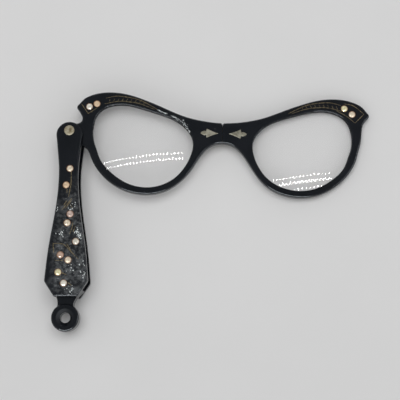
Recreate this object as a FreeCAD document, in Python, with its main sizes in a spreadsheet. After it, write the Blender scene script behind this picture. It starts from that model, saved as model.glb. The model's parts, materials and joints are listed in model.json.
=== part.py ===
"""Folding lorgnette: two cat-eye rims hinged at the bridge, on a slotted side handle.

Millimetres.  The origin is the pivot rivet's axis at the handle's outer back face.
+X runs along the open frame, from the pivot to the far rim, +Y towards the brow, +Z to the front.
The half frames are drawn in bridge coordinates: "out" is measured from the seam between the
rims, away from it on either side, and "up" from the line through the two lens centres.
The handle is drawn straight, with its pivot at the origin, and then leans about the pivot.
"""
import FreeCAD, Part
import math
import os

Vector = FreeCAD.Vector

doc = FreeCAD.newDocument("Lorgnette")

# ---------------------------------------------------------------- driving dimensions

DIMENSIONS = [
    # handle
    ("scale_thickness", 2.2),
    ("slot_width", 6.6),
    ("handle_lean", 2.3),
    ("boss_radius", 5.15),
    ("boss_offset", 1.5),
    ("shoulder_half", 8.4),
    ("shoulder_along", 59.9),
    ("heel_half", 4.5),
    ("heel_along", 65.8),
    ("shoulder_round", 1.6),
    ("heel_round", 0.7),
    ("scale_round", 0.75),
    ("back_bevel", 0.5),
    # tail, between the scales
    ("block_left_along", 60.5),
    ("block_right_along", 63.2),
    ("neck_half", 3.0),
    ("neck_along", 68.4),
    ("neck_thickness", 4.0),
    ("loop_along", 73.6),
    ("loop_across", -0.4),
    ("loop_radius", 5.35),
    ("loop_thickness", 5.8),
    ("loop_hole_radius", 2.0),
    ("loop_sink_radius", 3.4),
    ("loop_sink_depth", 1.1),
    ("loop_edge_round", 0.8),
    # pivot
    ("shank_radius", 1.2),
    ("shank_clearance", 0.05),
    ("rivet_head_radius", 2.0),
    ("rivet_head_height", 0.5),
    ("burr_radius", 2.3),
    ("burr_thickness", 0.6),
    ("bush_radius", 3.4),
    ("washer_thickness", 0.15),
    ("seat_gap", 0.05),
    # rims
    ("rim_thickness", 2.8),
    ("rim_to_scale", 0.25),
    ("seam_reach", 60.7),
    ("lens_out", 32.2),
    ("lens_drop", 4.66),
    ("seam_half_gap", 0.05),
    ("seam_notch", 0.55),
    ("ear_radius", 3.55),
    ("rim_round", 0.7),
    ("rim_back_bevel", 0.3),
    ("rim_inner_round", 0.4),
    # lenses
    ("lens_thickness", 1.5),
    ("lens_grip", 0.5),
    ("lens_clearance", 0.06),
    # bridge hinge
    ("hinge_drop", 0.25),
    ("knuckle_radius", 1.05),
    ("pin_radius", 0.45),
    ("pin_seat", 0.02),
    ("pin_clearance", 0.05),
    ("leaf_thickness", 0.8),
    ("leaf_low", 3.6),
    ("leaf_high", 9.6),
    ("leaf_length", 9.0),
    ("leaf_start", 1.2),
    ("spring_wire", 0.28),
    ("spring_mean_radius", 0.75),
    ("spring_pitch", 0.3),
    ("spring_turns", 4),
    ("spring_leg", 3.1),
    # ornaments
    ("shield_thickness", 0.35),
    ("shield_stud_radius", 0.5),
    ("stone_radius", 1.4),
    ("stone_height", 1.2),
    ("stone_depth", 0.85),
    ("stone_table", 0.75),
    ("stone_clearance", 0.04),
]

sheet = doc.addObject("Spreadsheet::Sheet", "Dimensions")
for row, (alias, value) in enumerate(DIMENSIONS, start=1):
    sheet.set(f"A{row}", alias)
    sheet.set(f"B{row}", str(value))
    sheet.setAlias(f"B{row}", alias)
DERIVED = [
    ("front_scale_floor", "=scale_thickness + slot_width"),
    ("handle_thickness", "=front_scale_floor + scale_thickness"),
    ("rim_front", "=front_scale_floor - rim_to_scale"),
    ("rim_back", "=rim_front - rim_thickness"),
    ("hinge_level", "=rim_back - hinge_drop"),
    ("slot_middle", "=scale_thickness + slot_width / 2"),
    ("lens_floor", "=rim_back + (rim_thickness - lens_thickness) / 2"),
    ("stone_pocket_radius", "=stone_radius + stone_clearance"),
    ("pivot_hole_radius", "=shank_radius + shank_clearance"),
]
for row, (alias, formula) in enumerate(DERIVED, start=len(DIMENSIONS) + 2):
    sheet.set(f"A{row}", alias)
    sheet.set(f"B{row}", formula)
    sheet.setAlias(f"B{row}", alias)
doc.recompute()


def size(alias):
    """The value of one cell of the sheet."""
    return float(sheet.get(alias))


def bind(feature, prop, formula):
    """Tie a property to the sheet; names between spaces are cell aliases."""
    words = [f"Dimensions.{word}" if hasattr(sheet, word) else word for word in formula.split(" ")]
    feature.setExpression(prop, " ".join(words))


# ---------------------------------------------------------------- small helpers

def spline(points, start=None, end=None):
    """Smooth curve through plan points, with a direction of its own at either end."""
    curve = Part.BSplineCurve()
    places = [Vector(x, y, 0) for x, y in points]
    directions = [start] + [None] * (len(points) - 2) + [end]
    curve.interpolate(Points=places,
                      Tangents=[direction or Vector(1, 0, 0) for direction in directions],
                      TangentFlags=[direction is not None for direction in directions])
    return curve


def direction_at(curve, parameter):
    return curve.toShape().tangentAt(parameter)


def closed_spline(points):
    curve = Part.BSplineCurve()
    curve.interpolate(Points=[Vector(x, y, 0) for x, y in points], PeriodicFlag=True)
    return curve


def line(first, last):
    return Part.LineSegment(Vector(first[0], first[1], 0), Vector(last[0], last[1], 0))


def arc(first, middle, last):
    return Part.Arc(*[Vector(x, y, 0) for x, y in (first, middle, last)])


def circle(centre, radius):
    return Part.Circle(Vector(centre[0], centre[1], 0), Vector(0, 0, 1), radius)


def new_body(name):
    body = doc.addObject("PartDesign::Body", name)
    body.Label = name
    return body


def new_sketch(body, name, curves, level="0", plane="XY_Plane"):
    """A sketch on one of the body's own planes, lifted to a level of the sheet."""
    sketch = body.newObject("Sketcher::SketchObject", name)
    support = next(item for item in body.Origin.OriginFeatures if item.Role == plane)
    sketch.AttachmentSupport = [(support, "")]
    sketch.MapMode = "FlatFace"
    bind(sketch, "AttachmentOffset.Base.z", level)
    for curve in curves:
        sketch.addGeometry(curve, False)
    return sketch


def pad(body, name, curves, level, length):
    feature = body.newObject("PartDesign::Pad", name)
    feature.Profile = new_sketch(body, name + "_outline", curves, level)
    bind(feature, "Length", length)
    doc.recompute()
    return feature


def pocket(body, name, curves, level, length):
    """Cut upwards from a level, and make sure that it removes material."""
    before = body.Shape.Volume
    feature = body.newObject("PartDesign::Pocket", name)
    feature.Profile = new_sketch(body, name + "_outline", curves, level)
    feature.Reversed = True
    bind(feature, "Length", length)
    doc.recompute()
    if body.Shape.Volume >= before:
        raise RuntimeError(f"{name} cuts nothing from {body.Label}")
    return feature


def edge_names(shape, keep):
    return [f"Edge{number}" for number, edge in enumerate(shape.Edges, start=1) if keep(edge)]


def level_edge(edge, level):
    box = edge.BoundBox
    return abs(box.ZMin - level) < 1e-4 and abs(box.ZMax - level) < 1e-4


def bevel(body, name, keep, width):
    """Chamfer the chosen edges of the body's present shape."""
    base = body.Tip
    feature = body.newObject("PartDesign::Chamfer", name)
    feature.Base = (base, edge_names(base.Shape, keep))
    bind(feature, "Size", width)
    doc.recompute()
    return feature


def soften(body, name, keep, radius):
    """Round the chosen edges of the body's present shape."""
    base = body.Tip
    feature = body.newObject("PartDesign::Fillet", name)
    feature.Base = (base, edge_names(base.Shape, keep))
    bind(feature, "Radius", radius)
    doc.recompute()
    return feature


def turned(name, profile, centre=(0, 0), level=0.0):
    """A body of revolution about its own Z axis; profile points are (radius, height)."""
    body = new_body(name)
    corners = profile + [profile[0]]
    curves = [line(first, last) for first, last in zip(corners, corners[1:])]
    feature = body.newObject("PartDesign::Revolution", name + "_turn")
    feature.Profile = new_sketch(body, name + "_profile", curves, plane="XZ_Plane")
    feature.ReferenceAxis = (feature.Profile[0], ["V_Axis"])
    feature.Angle = 360
    body.Placement = FreeCAD.Placement(Vector(centre[0], centre[1], level), FreeCAD.Rotation())
    doc.recompute()
    return body


def lean(body):
    """Swing a straight-drawn handle piece to the handle's real direction."""
    swing = FreeCAD.Rotation(Vector(0, 0, 1), size("handle_lean"))
    body.Placement = FreeCAD.Placement(Vector(0, 0, 0), swing).multiply(body.Placement)


# ---------------------------------------------------------------- handle

# Ornament places on the handle: across the handle, and along it from the pivot.
HANDLE_STONES = [(0.65, 15.6), (-0.7, 22.2), (1.1, 33.8), (0.05, 37.3), (3.5, 44.6),
                 (-2.3, 49.8), (0.7, 51.8), (-3.05, 56.5), (-0.8, 60.7)]

# Half widths of the handle at distances along it, between the boss and the shoulder.
HANDLE_WAIST = [(4.45, 8.0), (3.86, 14.5), (3.83, 21.5), (4.45, 29.0), (5.75, 38.0), (7.0, 46.0),
                (7.85, 53.5)]


def handle_side(side):
    """One long edge of a scale, from the boss down to the shoulder."""
    radius = size("boss_radius")
    start = math.radians(8)
    top = (side * radius * math.cos(start), -size("boss_offset") - radius * math.sin(start))
    points = [top] + [(side * half, -along) for half, along in HANDLE_WAIST]
    points.append((side * size("shoulder_half"), -size("shoulder_along")))
    return spline(points, Vector(-side * math.sin(start), -math.cos(start), 0))


def scale_outline():
    """The plan of both scales: a round boss, a waist, and a tail with sloping shoulders."""
    sides = {side: handle_side(side) for side in (-1, 1)}
    left_top, right_top = [sides[side].StartPoint for side in (-1, 1)]
    crown = (0, size("boss_radius") - size("boss_offset"))
    shoulder = (size("shoulder_half"), -size("shoulder_along"))
    heel = (size("heel_half"), -size("heel_along"))
    curves = [arc((left_top.x, left_top.y), crown, (right_top.x, right_top.y))]
    for side in (-1, 1):
        curves.append(sides[side])
        curves.append(line((side * shoulder[0], shoulder[1]), (side * heel[0], heel[1])))
    curves.append(line((-heel[0], heel[1]), heel))
    return curves


def scale_corner(half_alias, along_alias):
    """Picks the two upright edges at a pair of mirrored corners of a scale."""
    half, along = size(half_alias), size(along_alias)

    def matches(edge):
        box = edge.BoundBox
        upright = box.ZLength > 1 and box.XLength < 1e-4 and box.YLength < 1e-4
        return upright and abs(abs(box.XMin) - half) < 1e-3 and abs(box.YMin + along) < 1e-3
    return matches


def scale(name, level):
    """One acetate side of the handle, with rounded corners at the tail."""
    body = new_body(name)
    pad(body, name + "_plate", scale_outline(), level, "scale_thickness")
    soften(body, name + "_shoulders", scale_corner("shoulder_half", "shoulder_along"), "shoulder_round")
    soften(body, name + "_heels", scale_corner("heel_half", "heel_along"), "heel_round")
    return body


def front_scale():
    body = scale("front_scale", "front_scale_floor")
    top = size("handle_thickness")
    soften(body, "front_round", lambda edge: level_edge(edge, top), "scale_round")
    pocket(body, "front_rivet_hole", [circle((0, 0), size("pivot_hole_radius"))],
           "front_scale_floor", "scale_thickness")
    seats = [circle((across, -along), size("stone_pocket_radius")) for across, along in HANDLE_STONES]
    pocket(body, "front_stone_seats", seats, "handle_thickness - stone_depth", "stone_depth + 1")
    lean(body)


def back_scale():
    body = scale("back_scale", "0")
    bevel(body, "outer_bevel", lambda edge: level_edge(edge, 0), "back_bevel")
    pocket(body, "back_rivet_hole", [circle((0, 0), size("pivot_hole_radius"))],
           "0", "scale_thickness")
    seat_radius = size("burr_radius") + size("stone_clearance")
    pocket(body, "burr_seat", [circle((0, 0), seat_radius)], "0", "burr_thickness")
    lean(body)


def slope_point(along, side):
    """A point of the scales' lower slope at a distance along the handle."""
    half, start = size("shoulder_half"), size("shoulder_along")
    share = (along - start) / (size("heel_along") - start)
    return (side * (half + share * (size("heel_half") - half)), -along)


def tail_loop():
    """The spacer that holds the scales apart at the tail, with the neck and the hanging loop.

    Its upper edge slopes, and leaves room for the lower edge of the folded rims.
    """
    body = new_body("tail_loop")
    low_left = slope_point(size("block_left_along"), -1)
    high_right = slope_point(size("block_right_along"), 1)
    heel = (size("heel_half") - size("heel_round") / 2, -size("heel_along"))
    block = [low_left, high_right, (heel[0] + 0.2, heel[1] + 0.3), heel, (-heel[0], heel[1]),
             (-heel[0] - 0.2, heel[1] + 0.3)]
    outline = [line(first, last) for first, last in zip(block, block[1:] + block[:1])]
    across = size("loop_across")
    centre = (across, -size("loop_along"))
    pad(body, "loop_disc", [circle(centre, size("loop_radius"))],
        "slot_middle - loop_thickness / 2", "loop_thickness")
    soften(body, "loop_round", lambda edge: edge.BoundBox.ZLength < 1e-3, "loop_edge_round")
    pad(body, "tail_block", outline, "scale_thickness", "slot_width")

    neck, narrow = size("neck_half"), size("neck_along")
    sides = {side: spline([(side * (heel[0] - 0.1), heel[1] + 1),
                           (side * (neck + 0.45) + across / 3, heel[1] - 0.9),
                           (side * neck + across, -narrow),
                           (side * (neck + 0.5) + across, -narrow - 1.5)])
             for side in (-1, 1)}
    ends = [[sides[side].StartPoint, sides[side].EndPoint] for side in (-1, 1)]
    closing = [line((left.x, left.y), (right.x, right.y)) for left, right in zip(*ends)]
    pad(body, "neck", [sides[-1], sides[1]] + closing,
        "slot_middle - neck_thickness / 2", "neck_thickness")

    pocket(body, "loop_hole", [circle(centre, size("loop_hole_radius"))], "0", "handle_thickness")
    for name, direction in (("front_sink", 1), ("back_sink", -1)):
        loop_sink(body, name, centre, direction)
    lean(body)


def loop_sink(body, name, centre, direction):
    """A conical countersink in one face of the loop."""
    cone = body.newObject("PartDesign::SubtractiveCone", name)
    bind(cone, "Radius1", "loop_hole_radius")
    bind(cone, "Radius2", "loop_sink_radius")
    bind(cone, "Height", "loop_sink_depth")
    reach = size("loop_thickness") / 2 - size("loop_sink_depth")
    flip = FreeCAD.Rotation(Vector(1, 0, 0), 0 if direction > 0 else 180)
    place = Vector(centre[0], centre[1], size("slot_middle") + direction * reach)
    cone.Placement = FreeCAD.Placement(place, flip)
    doc.recompute()


# ---------------------------------------------------------------- pivot

def pivot():
    """The rivet, its burr in the back scale, and the rings that hold the ear in mid-slot."""
    shank, top = size("shank_radius"), size("handle_thickness")
    head, rise = size("rivet_head_radius"), size("rivet_head_height")
    turned("pivot_rivet", [(0, 0), (shank, 0), (shank, top), (head, top), (head, top + 0.3 * rise),
                           (0.85 * head, top + 0.8 * rise), (0.55 * head, top + rise),
                           (0, top + rise)])
    inner, gap = size("pivot_hole_radius"), size("seat_gap")
    rings = [("pivot_burr", size("burr_radius"), 0, size("burr_thickness")),
             ("pivot_bush", size("bush_radius"), size("scale_thickness"), size("rim_back") - gap),
             ("pivot_washer", size("bush_radius"), size("rim_front") + gap,
              size("rim_front") + gap + size("washer_thickness"))]
    for name, outer, low, high in rings:
        turned(name, [(inner, low), (outer, low), (outer, high), (inner, high)])


# ---------------------------------------------------------------- rims

# Outlines of a half frame, as (out from the seam, up from the lens centres).
BROW = [(8, 11.2), (16, 13.05), (24, 16.25), (32, 19.4), (40, 21.6), (46, 21.95), (52, 20.9),
        (56, 18.8), (58.3, 16.1)]
HORN_TIP = (58.62, 15.2)
HORN_UNDER = (58.3, 14.45)
# The two halves were shaped by hand, and the left cheek hangs a little lower.
NOSE_AND_CHEEK = {-1: [(0.05, 2.05), (4, 1.15), (8.1, -2.95), (11.9, -9.2), (16.8, -14.7), (22.8, -18.4),
                       (30.5, -19.7), (38.1, -18.3), (45.2, -14.2), (50.4, -8.3)],
                  1: [(0.05, 2.05), (4.2, 1.25), (8.6, -2.75), (12.7, -8.85), (17.3, -14.3), (23.2, -17.7),
                      (30.5, -19.0), (38.0, -17.95), (45.0, -14.25), (50.7, -8.5)]}
FREE_SIDE = [(53.8, -1.6), (55.35, 5.0), (55.75, 9.6), (56.5, 12.2)]
EAR_ROOT = [(52.2, -4.7), (53.5, -2.1), (56.6, 0.2)]
EAR_TOP = [(58.4, 8.45), (56.8, 9.1), (56.2, 10.4), (56.9, 12.4)]
EAR_LOW_ANGLE, EAR_HIGH_ANGLE = -105, 85
BUTT_TOP = 10.5

# The rim's inner edge: degrees round from the outer side, then how far it lies from the lens
# centre on the left and on the right.
LENS_REACH = [(0, 18.4, 18.75), (21, 20.8, 20.7), (38, 21.9, 21.4), (60, 19.4, 19.1), (90, 15.4, 15.4),
              (120, 15.2, 15.1), (150, 18.4, 18.1), (172, 20.65, 20.0), (195, 19.85, 19.2),
              (225, 18.65, 17.95), (255, 17.3, 16.65), (285, 16.2, 16.05), (315, 16.0, 16.3), (340, 17.1, 17.6)]

# Ornament places on the rims.
RIM_STONES = {-1: [(53.6, 15.55), (50.65, 16.8)], 1: [(51.75, 15.7), (48.65, 18.0)]}
SHIELD_MIDDLE = 6.0
SHIELD_SHIFT = {-1: -0.5, 1: 0.5}
SHIELD_STUDS = [4.9, 7.4]
SHIELD_POINT, SHIELD_FLANK, SHIELD_BARB = (2.1, 0), (4.75, 0.9), (6.75, 1.85)
SHIELD_NECK = (7.1, 0.68)
SHIELD_LOBE = [(7.8, 0.86), (8.6, 0.52), (9.15, 0)]

SIDE_NAMES = {-1: "left", 1: "right"}


def plan(side, point):
    """A point of a half frame in the row's own plan."""
    out, up = point
    return (size("seam_reach") + side * out, up - size("lens_drop"))


def shield_place(side, point):
    """A point of a shield, given as out along it and up from its middle line."""
    out, up = point
    return plan(side, (out + SHIELD_SHIFT[side], SHIELD_MIDDLE + up))


def lens_curve(side, grow=0.0):
    """The lens opening's closed outline, let out by a margin."""
    points = []
    for degrees, *reaches in LENS_REACH:
        angle = math.radians(degrees)
        reach = reaches[side > 0] + grow
        points.append(plan(side, (size("lens_out") + reach * math.cos(angle), reach * math.sin(angle))))
    return closed_spline(points)


def half_frame_outline(side):
    """The outer outline of a rim with its horn, and on the left with the ear for the pivot."""
    def placed(points):
        return [plan(side, point) for point in points]

    gap, notch = size("seam_half_gap"), size("seam_notch")
    butt_low, butt_high, notch_end = placed([(gap, NOSE_AND_CHEEK[side][0][1]), (gap, BUTT_TOP - notch),
                                             (gap + notch, BUTT_TOP)])
    tip = arc(*placed([BROW[-1], HORN_TIP, HORN_UNDER]))
    into_tip = direction_at(tip, tip.FirstParameter)
    back_to_tip = direction_at(tip, tip.LastParameter) * -1
    brow = spline([notch_end] + placed(BROW), end=into_tip)
    cheek_end = EAR_ROOT[0] if side < 0 else FREE_SIDE[0]
    cheek = spline(placed(NOSE_AND_CHEEK[side] + [cheek_end]))
    curves = [line(butt_low, butt_high), line(butt_high, notch_end), brow, tip, cheek]
    onward = direction_at(cheek, cheek.LastParameter)
    if side > 0:
        return curves + [spline(placed(FREE_SIDE + [HORN_UNDER]), onward, back_to_tip)]
    low, high = [Vector(-math.cos(turn), math.sin(turn), 0)
                 for turn in (math.radians(EAR_LOW_ANGLE), math.radians(EAR_HIGH_ANGLE))]
    radius = size("ear_radius")
    ear_low, ear_high = [(place.x * radius, place.y * radius) for place in (low, high)]
    root = spline(placed(EAR_ROOT) + [ear_low], onward, Vector(low.y, -low.x, 0))
    crest = spline([ear_high] + placed(EAR_TOP + [HORN_UNDER]), Vector(high.y, -high.x, 0),
                   back_to_tip)
    return curves + [root, arc(ear_low, (-radius, 0), ear_high), crest]


def rim(side):
    """One half of the front: bevelled acetate, grooved for its lens, cut away for the hinge."""
    name = SIDE_NAMES[side] + "_rim"
    body = new_body(name)
    pad(body, name + "_plate", half_frame_outline(side), "rim_back", "rim_thickness")
    seam = size("seam_reach") + side * size("seam_half_gap")

    def outer_edge(level):
        def matches(edge):
            box = edge.BoundBox
            on_seam = abs(box.XMin - seam) < 1e-3 and box.XLength < 1e-3
            return level_edge(edge, level) and not on_seam
        return matches

    soften(body, name + "_front_round", outer_edge(size("rim_front")), "rim_round")
    bevel(body, name + "_back_bevel", outer_edge(size("rim_back")), "rim_back_bevel")

    pocket(body, name + "_opening", [lens_curve(side)], "rim_back", "rim_thickness")
    centre_x = size("seam_reach") + side * size("lens_out")

    def inner_edge(edge):
        box = edge.BoundBox
        around = box.XMin < centre_x - 15 and box.XMax > centre_x + 15
        return around and box.ZLength < 1e-4 and box.XLength < 42
    soften(body, name + "_inner_round", inner_edge, "rim_inner_round")

    groove = lens_curve(side, size("lens_grip") + size("lens_clearance"))
    pocket(body, name + "_groove", [groove], "lens_floor - lens_clearance",
           "lens_thickness + 2 * lens_clearance")
    hinge_seat(body, side)
    stud_holes(body, side, "rim_thickness")
    seats = [circle(plan(side, place), size("stone_pocket_radius")) for place in RIM_STONES[side]]
    pocket(body, name + "_stone_seats", seats, "rim_front - stone_depth", "stone_depth + 1")
    if side < 0:
        pocket(body, "ear_hole", [circle((0, 0), size("pivot_hole_radius"))], "rim_back", "rim_thickness")


def rectangle(side, out_span, up_span):
    corners = [(out_span[0], up_span[0]), (out_span[1], up_span[0]),
               (out_span[1], up_span[1]), (out_span[0], up_span[1])]
    return outline(side, corners)


def outline(side, corners):
    """Straight lines round a list of half-frame points."""
    places = [plan(side, corner) for corner in corners]
    return [line(first, last) for first, last in zip(places, places[1:] + places[:1])]


def hinge_rod(body, kind, name, radius, low, high):
    """A cylinder along the bridge hinge's axis, added to or cut from a body."""
    rod = body.newObject(f"PartDesign::{kind}Cylinder", name)
    bind(rod, "Radius", radius)
    rod.Height = high - low
    start = Vector(size("seam_reach"), low - size("lens_drop"), size("hinge_level"))
    rod.Placement = FreeCAD.Placement(start, FreeCAD.Rotation(Vector(1, 0, 0), -90))
    doc.recompute()


def hinge_seat(body, side):
    """The inset for the hinge leaf in the back of the rim, and the cove round the knuckles."""
    low, high = size("leaf_low"), size("leaf_high")
    inset = rectangle(side, (0, size("leaf_length") + 0.1), (low - 0.1, high + 0.1))
    pocket(body, body.Label + "_leaf_seat", inset, "rim_back", "leaf_thickness + 0.05")
    hinge_rod(body, "Subtractive", body.Label + "_cove", "knuckle_radius + 0.2", low - 0.15, high + 0.15)


def stud_holes(body, side, length):
    """Two holes for the shield's studs, upwards from the rim's back face."""
    radius = size("shield_stud_radius") + 0.03
    holes = [circle(shield_place(side, (out, 0)), radius) for out in SHIELD_STUDS]
    pocket(body, body.Label + "_stud_holes", holes, "rim_back", length)


def lens(side):
    """A flat lens with a bevelled edge, held in the rim's groove."""
    body = new_body(SIDE_NAMES[side] + "_lens")
    pad(body, body.Label + "_disc", [lens_curve(side, size("lens_grip"))], "lens_floor", "lens_thickness")
    bevel(body, body.Label + "_edge", lambda edge: edge.BoundBox.ZLength < 1e-4, "0.2")


# ---------------------------------------------------------------- bridge hinge and its shields

KNUCKLES = {-1: [(3.6, 4.8), (8.4, 9.6)], 1: [(4.85, 5.8), (7.4, 8.35)]}
SPRING_WINDOW = (5.8, 7.4)


def leaf(side):
    """One hinge leaf: a plate with two knuckles, and a window for the spring's leg."""
    body = new_body(SIDE_NAMES[side] + "_leaf")
    name = body.Label
    low, high = size("leaf_low"), size("leaf_high")
    near, far = size("leaf_start"), size("leaf_length")
    window_low, window_high = SPRING_WINDOW
    plate = [(near, low), (far, low), (far, high), (near, high), (near, window_high),
             (near + 2.1, window_high), (near + 2.1, window_low), (near, window_low)]
    pad(body, name + "_plate", outline(side, plate), "rim_back", "leaf_thickness")
    end = size("seam_reach") + side * far
    soften(body, name + "_corners",
           lambda edge: edge.BoundBox.ZLength > 0.5 and abs(edge.BoundBox.XMin - end) < 1e-3, "0.8")
    for number, (start, stop) in enumerate(KNUCKLES[side], start=1):
        pad(body, f"{name}_tab_{number}", rectangle(side, (0, near + 0.1), (start, stop)),
            "rim_back", "leaf_thickness")
        hinge_rod(body, "Additive", f"{name}_knuckle_{number}", "knuckle_radius", start, stop)
    fit = "pin_radius + pin_seat" if side < 0 else "pin_radius + pin_clearance"
    hinge_rod(body, "Subtractive", name + "_bore", fit, low - 0.5, high + 0.5)
    stud_holes(body, side, "leaf_thickness")


def hinge_pin():
    """The pin through all four knuckles, with broken ends."""
    radius = size("pin_radius")
    low, high = size("leaf_low") - 0.1, size("leaf_high") + 0.1
    length = high - low
    body = turned("hinge_pin", [(0, 0), (radius - 0.1, 0), (radius, 0.1), (radius, length - 0.1),
                                (radius - 0.1, length), (0, length)])
    place = Vector(size("seam_reach"), low - size("lens_drop"), size("hinge_level"))
    body.Placement = FreeCAD.Placement(place, FreeCAD.Rotation(Vector(1, 0, 0), -90))


def bridge_spring():
    """A torsion spring on the hinge pin, with one straight leg against each leaf."""
    body = new_body("bridge_spring")
    radius, half_wire = size("spring_mean_radius"), size("spring_wire") / 2
    coil = body.newObject("PartDesign::AdditiveHelix", "coil")
    coil.Profile = new_sketch(body, "coil_section", [circle((radius, 0), half_wire)], plane="XZ_Plane")
    coil.ReferenceAxis = (coil.Profile[0], ["V_Axis"])
    coil.Mode = "pitch-turns-angle"
    bind(coil, "Pitch", "spring_pitch")
    bind(coil, "Turns", "spring_turns")
    doc.recompute()
    coil_length = size("spring_pitch") * size("spring_turns")
    for name, direction, level in (("left_leg", 1, 0), ("right_leg", -1, coil_length)):
        leg = body.newObject("PartDesign::AdditiveCylinder", name)
        bind(leg, "Radius", "spring_wire / 2")
        bind(leg, "Height", "spring_leg")
        leg.Placement = FreeCAD.Placement(Vector(radius, 0, level),
                                          FreeCAD.Rotation(Vector(1, 0, 0), direction * 90))
        doc.recompute()
    middle = sum(SPRING_WINDOW) / 2 - size("lens_drop")
    place = Vector(size("seam_reach"), middle - coil_length / 2, size("hinge_level"))
    body.Placement = FreeCAD.Placement(place, FreeCAD.Rotation(Vector(1, 1, 1), -120))
    doc.recompute()


def shield(side):
    """An arrow-shaped metal plate on the front, riveted through the rim by two studs."""
    body = new_body(SIDE_NAMES[side] + "_shield")
    name = body.Label

    def mirrored(point, flip):
        return shield_place(side, (point[0], flip * point[1]))

    curves = []
    for flip in (-1, 1):
        tip, flank, barb, neck = [mirrored(point, flip) for point in
                                  (SHIELD_POINT, SHIELD_FLANK, SHIELD_BARB, SHIELD_NECK)]
        curves += [arc(tip, flank, barb), line(barb, neck)]
    lobe = [mirrored(point, 1) for point in [SHIELD_NECK] + SHIELD_LOBE]
    lobe += [mirrored(point, -1) for point in SHIELD_LOBE[-2::-1] + [SHIELD_NECK]]
    curves.append(spline(lobe))
    pad(body, name + "_plate", curves, "rim_front", "shield_thickness")
    top = size("rim_front") + size("shield_thickness")
    bevel(body, name + "_bevel", lambda edge: level_edge(edge, top), "0.12")
    studs = [circle(shield_place(side, (out, 0)), size("shield_stud_radius")) for out in SHIELD_STUDS]
    pad(body, name + "_studs", studs, "rim_back", "rim_thickness")


# ---------------------------------------------------------------- stones

def stone(name, centre, level):
    """A round cut stone: a cone below the girdle, a bevelled crown and a flat table."""
    radius, table, rise = size("stone_radius"), size("stone_table"), size("stone_height")
    profile = [(0, 0), (0.5 * radius, 0), (radius, 0.5 * rise), (radius, 0.6 * rise), (table, rise), (0, rise)]
    return turned(name, profile, centre, level)


front_scale()
back_scale()
tail_loop()
pivot()
for side in (-1, 1):
    rim(side)
    lens(side)
    leaf(side)
    shield(side)
    for number, place in enumerate(RIM_STONES[side], start=1):
        stone(f"{SIDE_NAMES[side]}_rim_stone_{number}", plan(side, place),
              size("rim_front") - size("stone_depth"))
hinge_pin()
bridge_spring()
for number, (across, along) in enumerate(HANDLE_STONES, start=1):
    lean(stone(f"handle_stone_{number}", (across, -along), size("handle_thickness") - size("stone_depth")))
doc.recompute()

# ---------------------------------------------------------------- soundness, then one file per piece

for item in doc.Objects:
    if "Invalid" in item.State or "Error" in item.State:
        raise RuntimeError(f"{item.Name} did not recompute: {item.State}")
bodies = [item for item in doc.Objects if item.TypeId == "PartDesign::Body"]
for body in bodies:
    shape = body.Shape
    if shape.isNull() or not shape.isValid() or len(shape.Solids) != 1:
        raise RuntimeError(f"{body.Label} is not one sound solid")

os.makedirs("parts", exist_ok=True)
for body in bodies:
    body.Shape.exportStep(f"parts/{body.Label}.step")
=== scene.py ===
"""Looks of a folding lorgnette: black acetate, cut stones, gilt engraving, clear lenses.

Metres, in the CAD frame: the origin is the pivot rivet at the handle's back face, +X runs along
the open front, +Y points to the brow and +Z out of the front face.
"""

import json
import math
import random

import bpy
from mathutils import Matrix, Vector
from mathutils.bvhtree import BVHTree


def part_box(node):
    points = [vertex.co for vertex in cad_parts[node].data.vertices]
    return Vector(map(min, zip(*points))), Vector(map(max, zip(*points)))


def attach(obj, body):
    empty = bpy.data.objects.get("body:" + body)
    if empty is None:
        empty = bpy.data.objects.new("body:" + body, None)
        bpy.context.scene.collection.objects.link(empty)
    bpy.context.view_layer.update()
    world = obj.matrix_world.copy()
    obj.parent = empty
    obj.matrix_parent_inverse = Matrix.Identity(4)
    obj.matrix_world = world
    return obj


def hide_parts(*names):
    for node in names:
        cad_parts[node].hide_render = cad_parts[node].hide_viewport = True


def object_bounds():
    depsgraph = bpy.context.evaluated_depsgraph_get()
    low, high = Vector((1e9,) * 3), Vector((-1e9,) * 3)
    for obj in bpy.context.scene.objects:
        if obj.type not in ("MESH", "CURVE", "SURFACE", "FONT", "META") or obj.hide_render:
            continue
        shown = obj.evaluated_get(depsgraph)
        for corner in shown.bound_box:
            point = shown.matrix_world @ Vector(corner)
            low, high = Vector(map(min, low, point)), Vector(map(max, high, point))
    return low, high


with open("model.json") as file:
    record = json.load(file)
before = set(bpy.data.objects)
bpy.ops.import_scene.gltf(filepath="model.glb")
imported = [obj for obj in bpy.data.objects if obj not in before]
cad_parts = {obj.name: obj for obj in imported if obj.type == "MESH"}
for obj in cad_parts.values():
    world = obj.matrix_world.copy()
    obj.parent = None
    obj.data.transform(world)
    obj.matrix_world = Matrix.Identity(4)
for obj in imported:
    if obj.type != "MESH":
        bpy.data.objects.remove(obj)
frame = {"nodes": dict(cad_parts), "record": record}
cad_low, cad_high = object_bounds()

MM = 0.001
UP = Vector((0, 0, 1))
SIDES = ((-1, "left"), (1, "right"))
random.seed(7)

# ---------------------------------------------------------------- places taken from the frame

nodes = frame["nodes"]
joints = {joint["name"]: joint for joint in frame["record"]["behaviour"]["joints"]}
mounts = {mount["name"]: mount for mount in frame["record"]["mounts"]}

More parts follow.
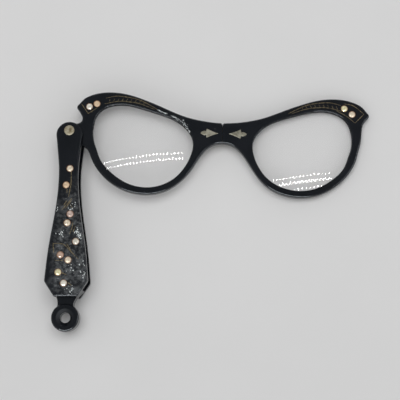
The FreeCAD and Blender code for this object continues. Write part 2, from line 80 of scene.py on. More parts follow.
LOOP_ACROSS = -0.4 * MM     # the loop's eye stands a little left of the handle's long axis
loop_eye = Vector((*mounts["loop_eye"]["pos_m"][:2], 0))
loop_along = math.sqrt(loop_eye.length_squared - LOOP_ACROSS ** 2)
loop_side = Vector((-loop_eye.y, loop_eye.x, 0))
handle_down = (loop_along * loop_eye - LOOP_ACROSS * loop_side) / loop_eye.length_squared
handle_across = Vector((-handle_down.y, handle_down.x, 0))
handle_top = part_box("front_scale")[1].z
rim_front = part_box("left_rim")[1].z
rim_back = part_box("left_rim")[0].z
lens_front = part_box("left_lens")[1].z
hinge = Vector(joints["bridge_hinge"]["pos_m"])
LENS_LINE = -4.66 * MM      # the height of the lens centres, from which a rim's places are measured up


def on_handle(across, along):
    """A place on the front scale, in millimetres across and along the handle."""
    place = handle_across * (across * MM) + handle_down * (along * MM)
    return Vector((place.x, place.y, handle_top))


def on_rim(side, out, up):
    """A place on a rim's front, in millimetres out from the seam and up from the lens line."""
    return Vector((hinge.x + side * out * MM, LENS_LINE + up * MM, rim_front))


def on_handle_mm(across, along):
    return on_handle(across, along) / MM


def on_rim_mm(side, out, up):
    return on_rim(side, out, up) / MM


# ---------------------------------------------------------------- node helpers

class Shader:
    """A node material under construction."""

    def __init__(self, name):
        self.material = bpy.data.materials.new(name)
        self.material.use_nodes = True
        self.tree = self.material.node_tree
        self.tree.nodes.clear()
        self.output = self.add("ShaderNodeOutputMaterial")

    def add(self, kind, inputs=None, **settings):
        node = self.tree.nodes.new(kind)
        for key, value in settings.items():
            setattr(node, key, value)
        for key, value in (inputs or {}).items():
            if isinstance(value, bpy.types.NodeSocket):
                self.tree.links.new(value, node.inputs[key])
            else:
                node.inputs[key].default_value = value
        return node

    def place(self, scale=(1, 1, 1), turn=0.0):
        """Object coordinates in millimetres, stretched and turned about Z."""
        coordinates = self.add("ShaderNodeTexCoord").outputs["Object"]
        size = [1000 * factor for factor in scale]
        return self.add("ShaderNodeMapping", {"Vector": coordinates, "Scale": size,
                                              "Rotation": (0, 0, turn)}).outputs["Vector"]

    def noise(self, scale, detail=3.0, roughness=0.5, vector=None):
        vector = vector or self.place()
        return self.add("ShaderNodeTexNoise", {"Vector": vector, "Scale": scale, "Detail": detail,
                                               "Roughness": roughness}).outputs["Fac"]

    def ramp(self, value, stops):
        """A colour ramp; stops are (position, colour or grey level)."""
        node = self.add("ShaderNodeValToRGB", {"Fac": value})
        ramp = node.color_ramp
        while len(ramp.elements) < len(stops):
            ramp.elements.new(0.5)
        for element, (position, colour) in zip(ramp.elements, stops):
            element.position = position
            element.color = grey(colour) if isinstance(colour, (int, float)) else (*colour, 1)
        return node.outputs["Color"]

    def math(self, operation, first, second=0.0):
        return self.add("ShaderNodeMath", {0: first, 1: second}, operation=operation).outputs[0]

    def mix(self, factor, first, second):
        node = self.add("ShaderNodeMix", data_type="RGBA")
        for socket, value in ((0, factor), (6, first), (7, second)):
            if isinstance(value, bpy.types.NodeSocket):
                self.tree.links.new(value, node.inputs[socket])
            else:
                node.inputs[socket].default_value = value
        return node.outputs[2]

    def bump(self, height, distance, normal=None):
        """A relief whose full height is the distance, in millimetres."""
        inputs = {"Height": height, "Distance": distance * MM, "Strength": 1.0}
        if normal is not None:
            inputs["Normal"] = normal
        return self.add("ShaderNodeBump", inputs).outputs["Normal"]

    def principled(self, **inputs):
        names = {key.replace("_", " "): value for key, value in inputs.items()}
        node = self.add("ShaderNodeBsdfPrincipled", names)
        self.tree.links.new(node.outputs[0], self.output.inputs["Surface"])
        return node


def grey(level):
    """A neutral colour."""
    return (level, level, level, 1)


# ---------------------------------------------------------------- materials

SPECK_GREY = (0.25, 0.25, 0.24, 1)
# painted grey sheen for one wide worn place on the handle
BLOOM_SHEEN_GREY = (0.17, 0.178, 0.18, 1)
# painted grey sheen for the worn, pitted patches
HAZE_SHEEN_GREY = (0.12, 0.126, 0.13, 1)
# painted white glint highlights in the worn patches
PAINTED_GLINT_WHITE = (0.72, 0.76, 0.76, 1)
COOL_SHEEN = (0.88, 0.94, 1.0, 1)
GILT = (0.17, 0.135, 0.075)
PATCH_DEPTH = 9             # how far a worn patch reaches along Z, in millimetres


def scratches(shader, scale, turn):
    """Long thin streaks in one direction, as a factor from 0 to 1."""
    stretched = shader.place(scale=(0.05, 1, 1), turn=turn)
    streaks = shader.noise(scale, detail=4, roughness=0.7, vector=stretched)
    return shader.ramp(streaks, [(0.62, 0), (0.7, 1)])


def dust(shader, scale, share, width=0.07):
    """Small scattered specks, as a factor from 0 to 1."""
    cells = shader.add("ShaderNodeTexVoronoi", {"Vector": shader.place(), "Scale": scale})
    near = shader.ramp(cells.outputs["Distance"], [(width, 1), (1.6 * width, 0)])
    picked = shader.math("GREATER_THAN", cells.outputs["Color"], 1 - share)
    return shader.math("MULTIPLY", near, picked)


def glint_mask(shader, middle, reach):
    """A soft round patch, in millimetres of the CAD frame, from 1 in its middle to 0 at its edge."""
    offset = shader.add("ShaderNodeVectorMath", {0: shader.place(), 1: middle}, operation="SUBTRACT")
    shape = shader.add("ShaderNodeVectorMath", {0: offset.outputs[0], 1: [1 / part for part in reach]},
                       operation="MULTIPLY")
    length = shader.add("ShaderNodeVectorMath", {0: shape.outputs[0]}, operation="LENGTH").outputs["Value"]
    return shader.ramp(length, [(0.45, 1), (1.0, 0)])


def black_acetate(name, patches=(), haze_sheen=0.5, bloom_sheen=None):
    """Polished black acetate with handling marks.

    Patches are worn, pitted places with painted sheen and painted glints; the bloom is one wide
    scratch-dulled place with painted sheen.
    """
    shader = Shader(name)
    cloud = shader.noise(0.12, detail=4)
    fine = shader.noise(1.6, detail=5, roughness=0.65)
    marks = shader.math("MAXIMUM", scratches(shader, 1.2, 0.5), scratches(shader, 0.9, -0.9))
    specks = dust(shader, 0.9, 0.16)
    tone = shader.ramp(cloud, [(0.3, (0.003, 0.004, 0.006)), (0.7, (0.007, 0.008, 0.011))])
    colour = shader.mix(shader.math("MULTIPLY", specks, 0.4), tone, SPECK_GREY)
    rough = shader.ramp(fine, [(0.3, 0.06), (0.7, 0.15)])
    rough = shader.mix(shader.math("MULTIPLY", marks, 0.4), rough, grey(0.4))
    normal = shader.bump(shader.noise(0.28, detail=1), 0.05)
    normal = shader.bump(marks, 0.004, normal=normal)
    # a painted grey sheen over one wide scratch-dulled place
    if bloom_sheen is not None:
        veil = shader.noise(0.7, detail=6, roughness=0.72)
        veil = shader.ramp(veil, [(0.44, 0.03), (0.54, 0.26), (0.68, 1)])
        veil = shader.math("MULTIPLY", veil, glint_mask(shader, *bloom_sheen))
        colour = shader.mix(veil, colour, BLOOM_SHEEN_GREY)
    mask = None
    for middle, reach in patches:
        patch = glint_mask(shader, middle, reach)
        mask = patch if mask is None else shader.math("MAXIMUM", mask, patch)
    if mask is not None:
        mottle = shader.ramp(shader.noise(0.35, detail=3, roughness=0.6), [(0.42, 0.15), (0.6, 1)])
        mask = shader.math("MULTIPLY", mask, mottle)
        pits = shader.noise(1.5, detail=5, roughness=0.65)
        normal = shader.bump(shader.math("MULTIPLY", pits, mask), 0.34, normal=normal)
        # a painted grey sheen over the worn, pitted patches
        colour = shader.mix(shader.math("MULTIPLY", mask, haze_sheen), colour, HAZE_SHEEN_GREY)
        # painted glint highlights: white specks inside the patches
        glints = shader.math("MAXIMUM", dust(shader, 0.62, 0.16, 0.12), dust(shader, 1.3, 0.25, 0.14))
        glints = shader.math("MULTIPLY", glints, mask)
        colour = shader.mix(glints, colour, PAINTED_GLINT_WHITE)
    shader.principled(Base_Color=colour, Roughness=rough, Normal=normal, IOR=1.49,
                      Specular_Tint=COOL_SHEEN)
    return shader.material


def clear_glass():
    """Thin clear lens glass that lets lamps through, with faint wiping marks."""
    shader = Shader("lens_glass")
    smudge = shader.ramp(shader.noise(0.09, detail=4, roughness=0.6), [(0.66, 0.0), (0.85, 0.012)])
    glass = shader.principled(Base_Color=(1, 1, 1, 1), Roughness=smudge,
                              IOR=1.52, Transmission_Weight=1.0)
    clear = shader.add("ShaderNodeBsdfTransparent", {"Color": (1, 1, 1, 1)})
    path = shader.add("ShaderNodeLightPath").outputs
    lamp = shader.math("MAXIMUM", path["Is Shadow Ray"], path["Is Diffuse Ray"])
    both = shader.add("ShaderNodeMixShader", {0: lamp, 1: glass.outputs[0], 2: clear.outputs[0]})
    shader.tree.links.new(both.outputs[0], shader.output.inputs["Surface"])
    return shader.material


def plated_metal(name, light, dark, rough=0.3, metallic=1.0, spot=None):
    """Worn plated metal: stained in patches, with drawn grain and perhaps one darker spot."""
    shader = Shader(name)
    stain = shader.noise(0.7, detail=5, roughness=0.65)
    colour = shader.ramp(stain, [(0.35, dark), (0.62, light)])
    if spot is not None:
        colour = shader.mix(glint_mask(shader, *spot), colour, (*GILT, 1))
    grain = shader.noise(3.0, detail=3, vector=shader.place(scale=(0.08, 1, 1)))
    roughness = shader.ramp(grain, [(0.2, rough), (0.8, rough + 0.22)])
    normal = shader.bump(grain, 0.006)
    normal = shader.bump(stain, 0.02, normal=normal)
    shader.principled(Base_Color=colour, Metallic=metallic, Roughness=roughness, Normal=normal)
    return shader.material


def foiled_stone(name, tint):
    """Cut glass over foil: a bright tinted metal look under a clear coat."""
    shader = Shader(name)
    shift = shader.noise(0.9, detail=2)
    dull = [part * 0.78 for part in tint]
    colour = shader.ramp(shift, [(0.35, dull), (0.55, tint)])
    rough = shader.ramp(shader.noise(2.0), [(0.3, 0.1), (0.7, 0.2)])
    shader.principled(Base_Color=colour, Metallic=0.35, Roughness=rough, Coat_Weight=1.0,
                      Coat_Roughness=0.03)
    return shader.material


def old_cement():
    """Brown cement that holds a stone in its seat."""
    shader = Shader("old_cement")
    crumbs = shader.noise(2.5, detail=4)
    tone = shader.ramp(crumbs, [(0.3, (0.1, 0.04, 0.014)), (0.7, (0.3, 0.14, 0.06))])
    shader.principled(Base_Color=tone, Roughness=0.35)
    return shader.material


def gilt():
    """Thin gilding rubbed into engraved lines, partly worn away to the black."""
    shader = Shader("rubbed_gilt")
    wear = shader.noise(1.4, detail=5, roughness=0.7)
    colour = shader.ramp(wear, [(0.36, (0.012, 0.011, 0.009)), (0.52, GILT), (0.72, (0.38, 0.3, 0.165))])
    shader.principled(Base_Color=colour, Metallic=0.55, Roughness=0.42)
    return shader.material


def scuff_glint_acetate():
    """The pale broken surface of a scuff, its near-white painted as a glint highlight."""
    shader = Shader("scuff_glint_acetate")
    flakes = shader.noise(2.2, detail=3)
    # painted glint highlight: the scratch colour goes up to near white
    tone = shader.ramp(flakes, [(0.3, (0.2, 0.23, 0.24)), (0.5, (0.86, 0.92, 0.92))])
    shader.principled(Base_Color=tone, Roughness=0.3)
    return shader.material


def pale_floor():
    """Matt pale paper with a hardly visible cloud."""
    shader = Shader("floor_paper")
    tone = shader.ramp(shader.noise(0.02, detail=3), [(0.3, 0.78), (0.7, 0.8)])
    normal = shader.bump(shader.noise(1.5, detail=3), 0.01)
    shader.principled(Base_Color=tone, Roughness=0.7, Normal=normal, Specular_IOR_Level=0.2)
    return shader.material


# worn places with painted sheen and glints, in millimetres: where the middle is, and how far a patch
# reaches along X and Y
HANDLE_WEAR_AND_GLINTS = [((0.3, 30.5), (5, 4)), ((-2.0, 41.8), (4, 3.5)), ((4.4, 42.0), (3.5, 4)),
               ((2.5, 55.0), (7, 7)), ((2.0, 63.3), (5, 2.4)), ((6.9, 57.0), (2.2, 7)),
               ((-3.0, 48.5), (4, 5)), ((-3.5, 60.5), (4, 3.5))]
LEFT_RIM_WEAR_AND_GLINTS = [((17.5, 11.2), (3.5, 1.6)), ((14.2, 8.0), (1.6, 2.5))]
BLOOM_SHEEN_PLACE, BLOOM_SHEEN_REACH = (2.0, 46.0), (9, 29, 30)

acetate = black_acetate("black_acetate")
# the handle and the left rim: real wear with painted sheen and painted glint highlights
worn_handle_sheen = black_acetate(
    "worn_handle_sheen", [(on_handle_mm(*place), (*reach, PATCH_DEPTH)) for place, reach in HANDLE_WEAR_AND_GLINTS],
    bloom_sheen=(on_handle_mm(*BLOOM_SHEEN_PLACE), BLOOM_SHEEN_REACH))
worn_rim_glints = black_acetate(
    "worn_rim_glints", [(on_rim_mm(-1, *place), (*reach, PATCH_DEPTH)) for place, reach in LEFT_RIM_WEAR_AND_GLINTS],
    haze_sheen=0.0)
glass = clear_glass()
silver = plated_metal("silver_plate", (0.62, 0.6, 0.5), (0.28, 0.26, 0.19), rough=0.34)
brass = plated_metal("hinge_brass", (0.62, 0.5, 0.28), (0.34, 0.25, 0.13), rough=0.3)
tarnish = plated_metal("tarnished_brass", (0.45, 0.42, 0.32), (0.26, 0.21, 0.12), rough=0.45,
                       metallic=0.45, spot=((0.5, 0.1, 11.5), (0.75, 1.3, PATCH_DEPTH)))
steel = plated_metal("spring_steel", (0.5, 0.5, 0.5), (0.32, 0.32, 0.32), rough=0.25)
cement = old_cement()
gold = gilt()
scuff_glint = scuff_glint_acetate()
STONE_TINTS = {"white": (1.0, 0.95, 0.83), "straw": (1.0, 0.93, 0.58), "cream": (1.0, 0.86, 0.66),
               "peach": (0.98, 0.72, 0.48), "amber": (0.72, 0.5, 0.38), "rose": (0.78, 0.6, 0.52)}
stone_materials = {name: foiled_stone(f"stone_{name}", tint) for name, tint in STONE_TINTS.items()}

# ---------------------------------------------------------------- CAD nodes that stay, better surfaces

SURFACES = {
    acetate: ["back_scale", "tail_loop", "right_rim"],
    worn_rim_glints: ["left_rim"],
    worn_handle_sheen: ["front_scale"],
    glass: ["left_lens", "right_lens"],
    silver: ["left_shield", "right_shield"],
    brass: ["left_leaf", "right_leaf", "pivot_burr", "pivot_bush"],
    tarnish: ["pivot_rivet"],
    steel: ["hinge_pin", "pivot_washer"],
}
for material, names in SURFACES.items():
    for name in names:
        for slot in nodes[name].material_slots:
            slot.material = material


# ---------------------------------------------------------------- cut stones

def mesh_piece(name, corners, faces, material, smooth=False):
    """A mesh object of one material, linked to the scene."""
    mesh = bpy.data.meshes.new(name)
    mesh.from_pydata([tuple(corner) for corner in corners], [], faces)
    mesh.validate()
    mesh.materials.append(material)
    for face in mesh.polygons:
        face.use_smooth = smooth
    piece = bpy.data.objects.new(name, mesh)
    bpy.context.scene.collection.objects.link(piece)
    return piece


def ring_of(centre, radius, height, count, offset):
    """A level ring of corners, turned by an offset given in steps between two corners."""
    return [centre + Vector((radius * math.cos(turn), radius * math.sin(turn), height))
            for turn in (2 * math.pi * (step + offset) / count for step in range(count))]


FACETS = 8                  # sides of a stone's table; its girdle has twice as many
STONE_SHARE = 0.9           # a stone's radius, as a share of its seat's
CULET_LIFT = 0.02 * MM      # how far its point stays off the seat's bottom
# a stone's rings, from its table down, as shares of its radius and its height
TABLE, CROWN, GIRDLE, UNDER = (0.54, 1.0), (0.8, 0.86), (1.0, 0.62), (1.0, 0.54)


def cut_stone(node, tint, spin):
    """A round brilliant in its CAD seat: eight-sided table, star and kite facets, pointed back."""
    low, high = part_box(node)
    base = Vector(((low.x + high.x) / 2, (low.y + high.y) / 2, low.z))
    radius, rise = STONE_SHARE * (high.x - low.x) / 2, high.z - low.z
    corners = []
    for (reach, height), count, offset in ((TABLE, FACETS, spin), (CROWN, FACETS, spin + 0.5),
                                           (GIRDLE, 2 * FACETS, 2 * spin), (UNDER, 2 * FACETS, 2 * spin)):
        corners += ring_of(base, reach * radius, height * rise, count, offset)
    corners.append(base + UP * CULET_LIFT)
    crown, girdle, under, culet = FACETS, 2 * FACETS, 4 * FACETS, 6 * FACETS
    faces = [list(range(FACETS))]
    for step in range(FACETS):
        after = (step + 1) % FACETS
        left, middle = girdle + 2 * step, girdle + 2 * step + 1
        right = girdle + (2 * step + 2) % (2 * FACETS)
        faces += [[step, crown + step, after], [step, left, crown + step], [left, middle, crown + step],
                  [middle, right, crown + step], [crown + step, right, after]]
    for step in range(2 * FACETS):
        after = (step + 1) % (2 * FACETS)
        faces += [[girdle + step, under + step, under + after, girdle + after],
                  [under + step, culet, under + after]]
    stone = mesh_piece(f"cut_{node}", corners, faces, stone_materials[tint])
    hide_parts(node)
    return stone, base, radius


def cement_ring(name, centre, radius, surface):
    """A thin uneven fillet of cement round a stone, at the surface of the acetate."""
    count = 36
    # from the stone outward: share of its radius, and height over the acetate in millimetres
    profile = [(0.985, -0.1), (0.99, 0.045), (1.05, 0.03), (1.1, -0.02)]
    corners = []
    for step in range(count):
        turn = 2 * math.pi * step / count
        phase = 3 * centre.x / MM       # each ring bulges at its own places
        swell = 1 + 0.03 * math.sin(3 * turn + phase) + 0.02 * math.sin(7 * turn)
        for share, height in profile:
            reach = radius * (share if share < 1 else 1 + (share - 1) * swell * 1.1)
            corners.append(Vector((centre.x + reach * math.cos(turn),
                                   centre.y + reach * math.sin(turn), surface + height * MM)))
    width = len(profile)
    faces = [[step * width + row, (step + 1) % count * width + row,
              (step + 1) % count * width + row + 1, step * width + row + 1]
             for step in range(count) for row in range(width - 1)]
    piece = mesh_piece(name, corners, faces, cement, smooth=True)
    return piece


stones = [(f"handle_stone_{number}", "handle", handle_top) for number in range(1, 10)]
for _, side_name in SIDES:
    stones += [(f"{side_name}_rim_stone_{number}", f"{side_name}_frame", rim_front) for number in (1, 2)]
TINTS = ["cream", "peach", "rose", "cream", "white", "amber", "cream", "straw", "white",
         "white", "peach", "cream", "straw"]
for (node, body, surface), tint in zip(stones, TINTS):
    stone, centre, radius = cut_stone(node, tint, random.random())
    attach(stone, body)
    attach(cement_ring(f"cement_{node}", centre, radius, surface), body)


# ---------------------------------------------------------------- gilt engraving

SEARCH_ABOVE, SEARCH_BELOW = 0.1 * MM, 0.7 * MM     # where a ribbon looks for the surface it lies on
RIBBON_CROWN = 0.025 * MM                           # how far its middle stands off that surface


def smooth_path(points, steps=6):
    """A Catmull-Rom line through the points."""
    ends = [2 * points[0] - points[1]] + points + [2 * points[-1] - points[-2]]
    path = []
    for first, start, end, last in zip(ends, ends[1:], ends[2:], ends[3:]):
        for step in range(steps):
            share = step / steps
            path.append(0.5 * (2 * start + (end - first) * share
                               + (2 * first - 5 * start + 4 * end - last) * share ** 2
                               + (3 * start - first - 3 * end + last) * share ** 3))
    return path + [points[-1]]


def surface_of(node):
    """The faces of a CAD node, to look for its surface below a place."""
    part = nodes[node]
    corners = [part.matrix_world @ vertex.co for vertex in part.data.vertices]
    return BVHTree.FromPolygons(corners, [list(face.vertices) for face in part.data.polygons])


def settled(surface, row):
    """A row of three places brought down on a surface, or None if one has no surface close below it."""
    down = []
    for place in row:
        hit = surface.ray_cast(place + UP * SEARCH_ABOVE, -UP, SEARCH_BELOW + SEARCH_ABOVE)[0]
        if hit is None:
            return None
        down.append(hit)
    down[1] = down[1] + UP * RIBBON_CROWN
    return down


def taper(share):
    """A ribbon's width at a share of its length: full in the middle and about 0.6 at its ends."""
    return 0.35 + 0.65 * math.sin(math.pi * (0.12 + 0.76 * share))


def inlay(name, strokes, node, body, material=gold):
    """Narrow tapering ribbons lying on a CAD node, all in one piece; they end where its surface ends."""
    surface = surface_of(node)
    corners, faces = [], []
    for points, width in strokes:
        path = smooth_path(points)
        run = []            # the rows so far that lie on an unbroken surface
        for step, place in enumerate(path):
            before, after = path[max(step - 1, 0)], path[min(step + 1, len(path) - 1)]
            sideways = (after - before).cross(UP).normalized()
            half = width * MM / 2 * taper(step / (len(path) - 1))
            row = settled(surface, [place - sideways * half, place, place + sideways * half])
            if row is None:
                run = []
                continue
            run.append(row)
            if len(run) == 1:
                continue
            first = len(corners) - (3 if len(run) > 2 else 0)
            corners += row if len(run) > 2 else run[0] + row
            faces += [[corner, corner + 1, corner + 4, corner + 3] for corner in (first, first + 1)]
    piece = mesh_piece(name, corners, faces, material, smooth=True)
    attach(piece, body)
    return piece


def handle_spray():
    """Two stems that meet below the upper stones, a fan of blades, and curved twigs lower down."""
    drawn = [
        ([(1.2, 17.0), (1.2, 21.5), (0.8, 24.4), (0.3, 27.0)], 0.384),
        ([(-0.3, 23.6), (-0.3, 25.5)], 0.36),
        ([(1.6, 27.6), (-0.4, 30.1), (-2.1, 32.1)], 0.36),
        ([(1.6, 28.4), (0.2, 30.1), (-0.8, 31.8)], 0.312),
        ([(-0.2, 28.4), (-1.5, 30.3)], 0.312),
        ([(0.6, 29.1), (2.1, 31.6)], 0.288),
        ([(2.3, 36.9), (1.9, 39.5), (1.1, 41.6)], 0.384),
        ([(3.2, 38.6), (2.5, 40.8)], 0.288),
        ([(-5.2, 45.3), (-1.2, 45.7), (1.4, 48.2), (4.7, 51.5)], 0.384),
        ([(-5.2, 45.3), (-4.8, 49.0)], 0.36),
        ([(0.0, 45.3), (2.3, 49.2)], 0.312),
        ([(-4.3, 51.9), (-0.7, 52.1), (1.8, 53.6)], 0.312),
        ([(-2.2, 56.4), (0.3, 57.5)], 0.408),
        ([(0.3, 60.1), (2.4, 61.7)], 0.384),
    ]
    return [([on_handle(*point) for point in points], width) for points, width in drawn]


BOX_LINE, BROW_LINE, HATCH_LINE = 0.3, 0.28, 0.2    # widths in millimetres
HATCHES = 9


def horn_box(side):
    """The open box engraved round the two stones of a horn."""
    if side < 0:
        lines = [[(57.0, 16.8), (54.0, 12.6)], [(54.0, 12.6), (50.5, 15.1)]]
    else:
        lines = [[(48.5, 20.0), (52.2, 19.3), (56.5, 16.0)], [(56.5, 16.0), (52.9, 12.1)],
                 [(52.9, 12.1), (49.6, 14.8), (45.5, 17.0)]]
    return [([on_rim(side, *point) for point in points], BOX_LINE) for points in lines]


def brow_lines(side):
    """Two tapering lines along the brow with short hatches between them."""
    upper = [(47.2, 19.3), (42.2, 20.3), (34.8, 19.3), (30.1, 17.3), (26.3, 15.2)]
    lower = [(47.5, 16.9), (42.1, 18.1), (37.5, 18.0), (32.8, 17.2), (27.5, 15.2)]
    strokes = [([on_rim(side, *point) for point in line], BROW_LINE) for line in (upper, lower)]
    farthest, stretch, lean = 46.0, 14.0, 0.6
    for number in range(HATCHES):
        share = number / (HATCHES - 1)
        out = farthest - stretch * share
        foot = 17.4 + 0.8 * math.sin(math.pi * share)
        head = foot + 1.5 - 0.7 * share
        strokes.append(([on_rim(side, out, foot), on_rim(side, out - lean, head)], HATCH_LINE))
    return strokes


inlay("handle_gilding", handle_spray(), "front_scale", "handle")
for side, side_name in SIDES:
    inlay(f"{side_name}_rim_gilding", horn_box(side) + brow_lines(side), f"{side_name}_rim",
          f"{side_name}_frame")


# ---------------------------------------------------------------- pale scratches, painted as glints

def scuff_glints(name, places, node, body, length, width, wander):
    """Short pale scratches, their near-white painted as glint highlights, strewn round each (place,
    direction, spread, count).
    """
    strokes = []
    for place, along, (spread_along, spread_across), count in places:
        across = Vector((-along.y, along.x, 0))
        for _ in range(count):
            middle = place + along * random.gauss(0, spread_along) * MM
            middle += across * random.gauss(0, spread_across) * MM
            turn = random.gauss(0, wander)
            way = along * math.cos(turn) + across * math.sin(turn)
            reach = way * random.uniform(0.3, 1.0) * length * MM / 2
            strokes.append(([middle - reach, middle + reach], random.uniform(0.5, 1.0) * width))
    return inlay(name, strokes, node, body, material=scuff_glint)


def path_places(points, spread, count):
    """Places along a line of points, each with the line's direction there."""
    return [((first + last) / 2, (last - first).normalized(), spread, count)
            for first, last in zip(points, points[1:])]


# the rubbed edge over the left lens, and the clusters on the handle as (across, along, count); their pale
# scratches are painted as glints
STREAK = [(27.0, 15.4), (24.5, 14.5), (21.6, 13.3), (19.0, 12.2), (17.0, 11.0), (15.2, 9.4), (13.9, 7.6),
          (13.0, 5.8)]
SPARKLES = [(-3.4, 31.5, 4), (1.3, 31.4, 5), (3.2, 29.6, 4), (-2.4, 41.6, 10), (3.9, 40.6, 15),
            (4.9, 42.4, 15), (2.0, 54.5, 6), (6.6, 54.0, 5), (7.0, 57.0, 7), (2.2, 63.0, 12)]
scuff_glints("left_rim_scuff_glints",
       path_places([on_rim(-1, *point) for point in STREAK], spread=(0.9, 0.22), count=6),
       "left_rim", "left_frame", length=1.4, width=0.16, wander=0.08)
scuff_glints("handle_scuff_glints",
       [(on_handle(across, along), handle_down, (0.85, 0.6), count) for across, along, count in SPARKLES],
       "front_scale", "handle", length=0.6, width=0.36, wander=0.5)


# ---------------------------------------------------------------- bridge spring

def wire(name, path, radius, body):
    """Round spring wire along a list of places."""
    curve = bpy.data.curves.new(name, "CURVE")
    curve.dimensions = "3D"
    curve.bevel_depth = radius
    curve.bevel_resolution = 4
    curve.use_fill_caps = True
    line = curve.splines.new("POLY")
    line.points.add(len(path) - 1)
    for point, place in zip(line.points, path):
        point.co = (*place, 1)
    curve.materials.append(steel)
    piece = bpy.data.objects.new(name, curve)
    bpy.context.scene.collection.objects.link(piece)
    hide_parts("bridge_spring")
    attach(piece, body)
    return piece


def bridge_spring():
    """The coil and its left leg stay with the left rim; the right leg goes with the right one."""
    low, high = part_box("bridge_spring")
    wire_radius = 0.14 * MM
    coil_radius = high.z - hinge.z - wire_radius
    start, end = low.y + wire_radius, high.y - wire_radius
    turns, steps = 4, 24
    coil = [Vector((low.x + wire_radius, start, hinge.z + coil_radius))]
    for step in range(turns * steps + 1):
        turn = 2 * math.pi * step / steps
        coil.append(Vector((hinge.x + coil_radius * math.sin(turn),
                            start + (end - start) * step / (turns * steps),
                            hinge.z + coil_radius * math.cos(turn))))
    wire("spring_coil", coil, wire_radius, "left_frame")
    leg = [Vector((hinge.x, end, hinge.z + coil_radius)),
           Vector((high.x - wire_radius, end, hinge.z + coil_radius))]
    wire("spring_leg", leg, wire_radius, "right_frame")


bridge_spring()

# ---------------------------------------------------------------- camera, floor and light

CAMERA_DISTANCE = 0.350
CAMERA_TILT = math.radians(12)
CAMERA_ROLL = math.radians(1.9)
SENSOR_WIDTH, LENS_LENGTH = 36, 80.25       # millimetres
AIM = Vector((52.7 * MM, -26.0 * MM, rim_front))    # the middle of the picture
FLOOR_HALF = 1.5
LAMP_SIZE, LAMP_POWER = 1.0 * MM, 0.00012
WORLD_STRENGTH = 0.69


def make_camera():
    """Above the front, tipped back towards the handle's tail."""
    up = Vector((-math.sin(CAMERA_ROLL), math.cos(CAMERA_ROLL), 0))
    back = UP * math.cos(CAMERA_TILT) - up * math.sin(CAMERA_TILT)
    right = up.cross(back).normalized()
    turn = Matrix((right, back.cross(right), back)).transposed()
    data = bpy.data.cameras.new("camera")
    data.sensor_width = SENSOR_WIDTH
    data.lens = LENS_LENGTH
    data.clip_start = 0.01
    camera = bpy.data.objects.new("camera", data)
    camera.matrix_world = Matrix.Translation(AIM + back * CAMERA_DISTANCE) @ turn.to_4x4()
    bpy.context.scene.collection.objects.link(camera)
    bpy.context.scene.camera = camera
    return camera


def make_floor():
    """The table: the object leans on it with the handle's right edge and the far rim's tip."""
    boss_edge = Vector((5.1 * MM, -1.5 * MM, 0))
    tail_edge = on_handle(8.4, 59.9)
    tail_edge.z = 0
    far_tip = Vector((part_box("right_rim")[1].x, on_rim(1, 0, 15.2).y, rim_back))
    normal = (tail_edge - boss_edge).cross(far_tip - boss_edge).normalized()
    along = Vector((0, 1, 0)).cross(normal).normalized() * FLOOR_HALF
    across = normal.cross(along)
    corners = [boss_edge + along * x + across * y for x, y in ((-1, -1), (1, -1), (1, 1), (-1, 1))]
    floor = mesh_piece("floor", corners, [[0, 1, 2, 3]], pale_floor())


def area_light(name, place, aim, size, power):
    """A disc lamp that faces a place."""
    data = bpy.data.lights.new(name, "AREA")
    data.shape = "DISK"
    data.size = size
    data.energy = power
    light = bpy.data.objects.new(name, data)
    light.location = place
    light.rotation_euler = (aim - place).to_track_quat("-Z", "Y").to_euler()
    bpy.context.scene.collection.objects.link(light)
    return light


def soft_box(name, place, aim, width, height, power):
    """A rectangular lamp that faces a place."""
    light = area_light(name, place, aim, width, power)
    light.data.shape = "RECTANGLE"
    light.data.size_y = height
    light.visible_transmission = False
    return light


def make_world():
    """A pale tent: bright low down, most of all behind the viewer, and dim overhead."""
    world = bpy.data.worlds.new("tent")
    bpy.context.scene.world = world
    world.use_nodes = True
    tree = world.node_tree
    direction = tree.nodes.new("ShaderNodeTexCoord").outputs["Generated"]
    split = tree.nodes.new("ShaderNodeSeparateXYZ")
    tree.links.new(direction, split.inputs[0])
    ramp = tree.nodes.new("ShaderNodeValToRGB")
    tree.links.new(split.outputs["Z"], ramp.inputs[0])
    levels = [(0.0, 0.35), (0.24, 0.5), (0.4, 1.2), (0.52, 0.9), (0.66, 0.66), (0.86, 0.44), (1.0, 0.32)]
    stops = ramp.color_ramp.elements
    while len(stops) < len(levels):
        stops.new(0.5)
    for stop, (position, level) in zip(stops, levels):
        stop.position = position
        stop.color = grey(level)
    # brighter from the handle's tail than from the brow
    falloff = tree.nodes.new("ShaderNodeMapRange")
    tree.links.new(split.outputs["Y"], falloff.inputs[0])
    for socket, value in zip(list(falloff.inputs)[1:5], (-1.0, 1.0, 1.5, 0.5)):
        socket.default_value = value
    strength = tree.nodes.new("ShaderNodeMath")
    strength.operation = "MULTIPLY"
    strength.inputs[1].default_value = WORLD_STRENGTH
    tree.links.new(falloff.outputs[0], strength.inputs[0])
    background = tree.nodes["Background"]
    tree.links.new(ramp.outputs[0], background.inputs[0])
    tree.links.new(strength.outputs[0], background.inputs[1])


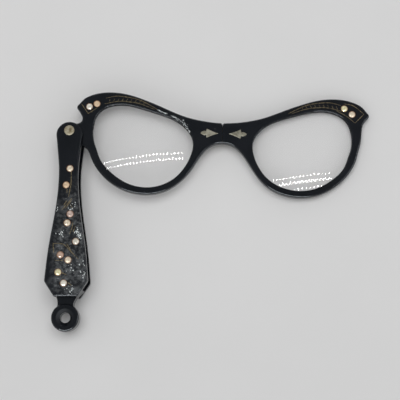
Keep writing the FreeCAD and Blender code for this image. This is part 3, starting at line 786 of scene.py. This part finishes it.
def bent_line(start, middle, end, share):
    """The point at a share of the way along a bend that passes through three points."""
    bend = 2 * share * (1 - share)
    return [(1 - share) ** 2 * first + share ** 2 * last + bend * (2 * halfway - (first + last) / 2)
            for first, halfway, last in zip(start, middle, end)]


def led_rows(camera):
    """Rows of small lamps, placed where the lenses mirror them to the camera; only the lenses see them.

    A row is the start, middle and end of its mirror image in millimetres, the number of lamps, and
    how far they stand off its line by turns.
    """
    lenses = bpy.data.collections.new("lamp_mirrors")
    for name in ("left_lens", "right_lens"):
        lenses.objects.link(nodes[name])
    eye = camera.matrix_world.translation
    rows = [
        [(14.1, -12.2), (28.8, -8.8), (44.8, -7.0), 24, 0.0],
        [(15.7, -14.1), (30.4, -10.9), (45.2, -9.2), 24, 0.0],
        [(81.5, -17.0), (92.0, -14.9), (103.5, -13.2), 17, 0.0],
        [(82.3, -19.2), (93.0, -17.1), (104.4, -15.2), 30, 0.28],
        [(88.2, -20.8), (94.5, -19.6), (100.6, -18.6), 9, 0.0],
    ]
    for number, (start, middle, end, count, zigzag) in enumerate(rows):
        for step in range(count):
            across, up = bent_line(start, middle, end, step / (count - 1))
            mirror = Vector((across * MM, (up + zigzag * (-1) ** step) * MM, lens_front))
            reach = mirror - eye
            place = mirror + Vector((reach.x, reach.y, -reach.z))
            led = area_light(f"led_{number}_{step}", place, mirror, LAMP_SIZE, LAMP_POWER)
            led.light_linking.receiver_collection = lenses


camera = make_camera()
make_floor()
make_world()
# the key lights the floor and the matt parts; the windows only gloss the polished ones
centre = (cad_low + cad_high) / 2
key = soft_box("key", centre + Vector((-0.05, 0.16, 0.75)), centre, 0.75, 0.45, 2.7)
key.visible_glossy = False
for name, place, width, height, power in (("window_front", (-0.05, -0.42, 0.42), 0.55, 0.13, 3.6),
                                         ("window_side", (0.5, -0.05, 0.5), 0.4, 0.2, 1.0),
                                         ("window_back", (-0.2, 0.55, 0.25), 0.7, 0.16, 0.6)):
    window = soft_box(name, centre + Vector(place), centre, width, height, power)
    window.visible_diffuse = False
led_rows(camera)
bpy.context.scene.view_settings.view_transform = "Standard"
